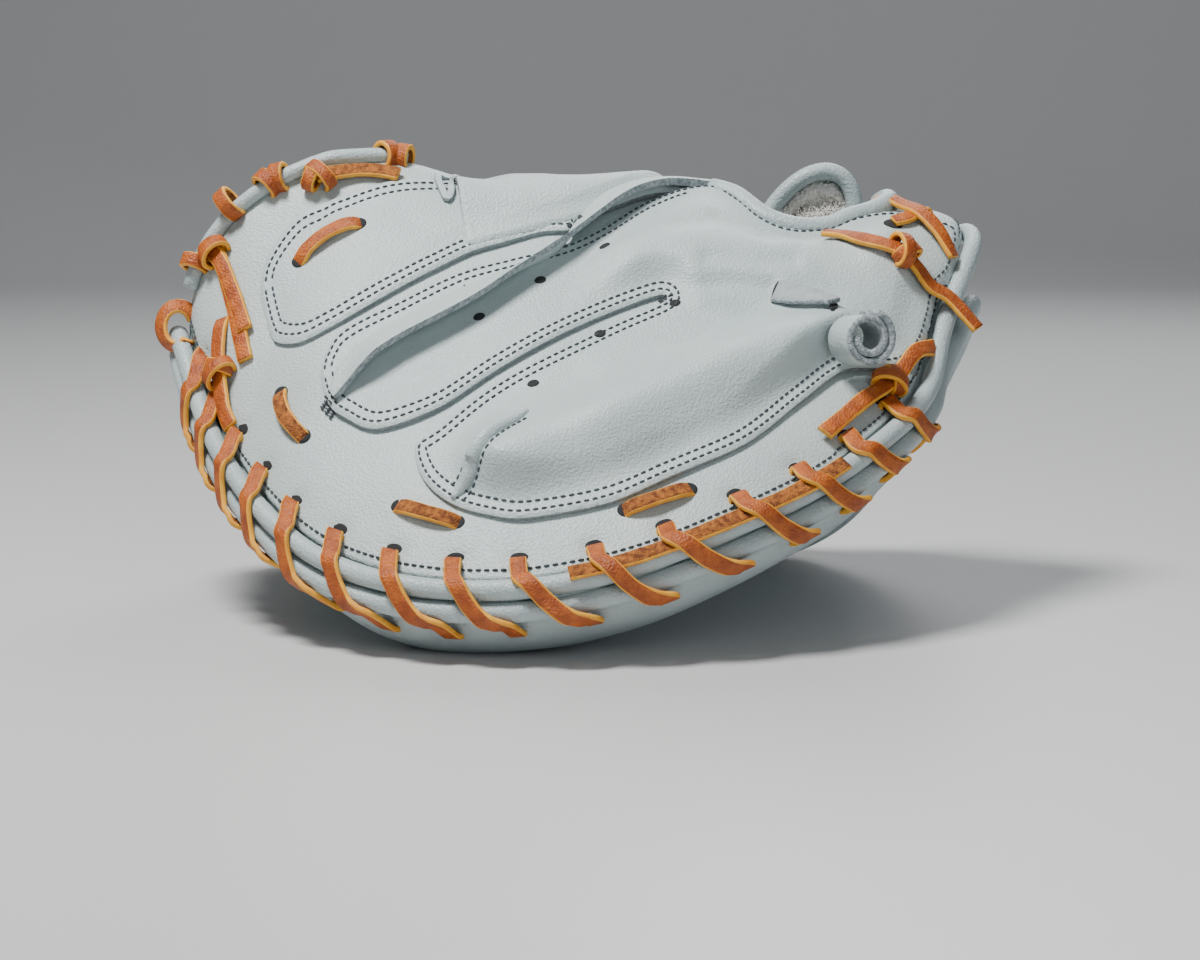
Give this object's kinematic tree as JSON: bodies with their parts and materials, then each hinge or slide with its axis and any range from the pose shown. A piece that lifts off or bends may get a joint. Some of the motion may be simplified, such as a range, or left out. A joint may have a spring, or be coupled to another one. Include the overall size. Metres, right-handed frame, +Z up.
{
  "type": "catcher's mitt",
  "caption": "Laced leather catcher's mitt lying palm down, with an open pocket, padded rim, sewn finger stalls, wrist opening and knotted laces.",
  "frame": {"origin": "middle of the bounding box on the floor", "axes": "+X towards the heel, -Y towards the viewer's side of the rim, +Z up from the floor"},
  "size_m": [0.2884, 0.2456, 0.1568],
  "materials": {
    "back_leather": "smooth grain",
    "palm_leather": "smooth grain",
    "roll_leather": "smooth grain",
    "lace_leather": "oiled",
    "suede": "napped",
    "wool": "fleece"
  },
  "bodies": {
    "root": {"back_shell": "back_leather", "index_panel": "back_leather", "finger_hood": "back_leather", "ring_flap": "back_leather", "stall_cover": "back_leather", "little_finger_pleat": "back_leather", "thumb_strap": "back_leather", "strap_scroll": "back_leather", "palm": "palm_leather", "back_roll": "roll_leather", "palm_roll": "roll_leather", "web_roll": "roll_leather", "wrist_binding": "roll_leather", "near_rim_lace": "lace_leather", "far_rim_lace": "lace_leather", "tucked_lace": "lace_leather", "pad_lace_a": "lace_leather", "pad_lace_b": "lace_leather", "pad_lace_c": "lace_leather", "pad_lace_d": "lace_leather", "web_knot_low": "lace_leather", "web_knot_high": "lace_leather", "web_knot_top": "lace_leather", "heel_knot_low": "lace_leather", "heel_knot_high": "lace_leather", "heel_lace": "lace_leather", "web_loop_1": "lace_leather", "web_loop_2": "lace_leather", "web_end_loop": "lace_leather", "strap_window": "suede", "wool_lining": "wool"}
  },
  "joints": []
}
